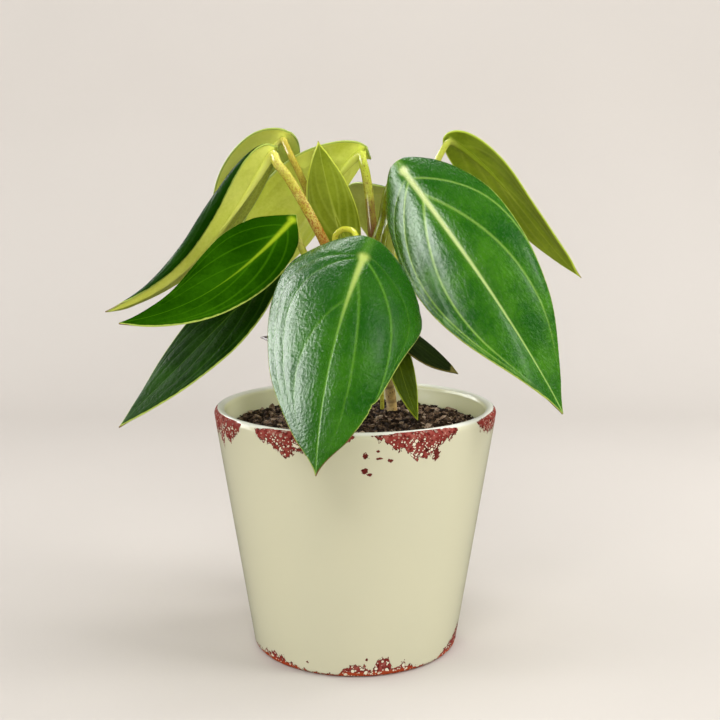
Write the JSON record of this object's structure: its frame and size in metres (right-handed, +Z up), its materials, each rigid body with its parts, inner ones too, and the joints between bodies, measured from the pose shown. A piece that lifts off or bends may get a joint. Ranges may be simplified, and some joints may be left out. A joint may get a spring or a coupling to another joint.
{
  "type": "potted peperomia",
  "caption": "Potted peperomia: thick, pointed, drooping leaves on speckled stalks from one leaning stem, in soil, in a round tapered glazed pot with a rolled lip.",
  "frame": {"origin": "centre of the pot's flat base", "axes": "+Z up along the pot's axis, +X to the right and +Y to the back as seen from the front, where the broadest leaf hangs over the rim"},
  "size_m": [0.2393, 0.2139, 0.2572],
  "materials": {
    "glaze": "pale cream-green glaze on clay, worn to brick red at the lip and the foot",
    "soil": "rough dark brown potting mix",
    "bark": "tan, brown speckled, satin",
    "stalk": "yellow-green with red-brown speckles, glossy",
    "blade": "dark green glossy upper side, light yellow-green underside",
    "young_blade": "light yellow-green, glossy"
  },
  "bodies": {
    "root": {"pot": "glaze", "soil": "soil", "stem_main": "bark", "stem_side": "stalk", "petiole_front": "stalk", "petiole_right": "stalk", "petiole_right_back": "stalk", "petiole_left": "stalk", "petiole_left_low": "stalk", "petiole_left_high": "stalk", "petiole_back_left": "stalk", "petiole_back": "stalk", "petiole_back_right": "stalk", "petiole_inner": "stalk", "petiole_low_right": "stalk", "petiole_low_left": "stalk", "leaf_front": "blade", "leaf_right": "blade", "leaf_right_back": "blade", "leaf_left": "blade", "leaf_left_low": "blade", "leaf_left_high": "blade", "leaf_back_left": "blade", "leaf_back": "blade", "leaf_back_right": "blade", "leaf_low_right": "blade", "leaf_low_left": "blade", "leaf_inner": "young_blade", "leaf_low_hang": "young_blade"}
  },
  "joints": []
}
